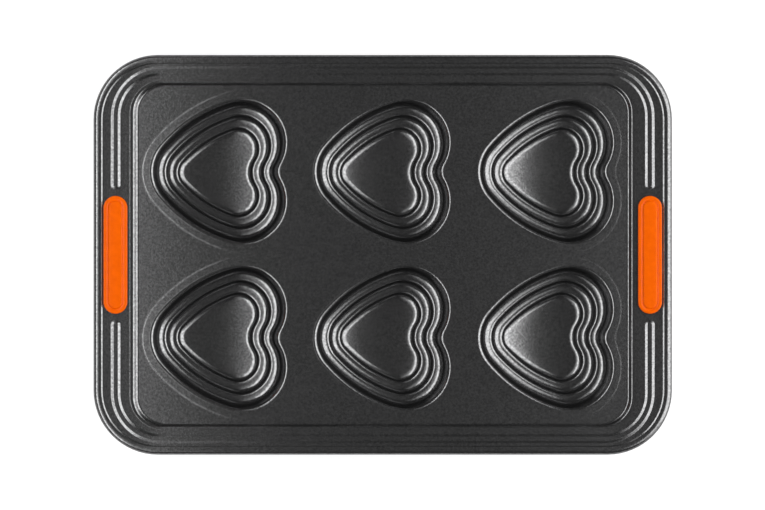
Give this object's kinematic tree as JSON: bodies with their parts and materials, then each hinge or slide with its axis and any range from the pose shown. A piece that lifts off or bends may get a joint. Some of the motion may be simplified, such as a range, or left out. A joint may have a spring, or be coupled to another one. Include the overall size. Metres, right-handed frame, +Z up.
{
  "type": "heart muffin pan",
  "caption": "Rectangular non-stick baking tin with stepped heart-shaped cups, a raised rib and a wired rolled edge, and a silicone grip let into each end flange.",
  "frame": {"origin": "under the middle of the pan, level with the undersides of the cup floors that it stands on", "axes": "+X along the pan, away from the tips of the hearts; +Y across it; +Z up"},
  "size_m": [0.4, 0.2764, 0.0351],
  "materials": {
    "nonstick_coat": "satin anthracite non-stick coating with a fine grain, on pressed steel",
    "wire_steel": "bare drawn steel wire",
    "grip_silicone": "matt moulded orange silicone"
  },
  "bodies": {
    "root": {"pan_shell": "nonstick_coat", "rim_wire": "wire_steel", "left_grip": "grip_silicone", "right_grip": "grip_silicone"}
  },
  "joints": []
}
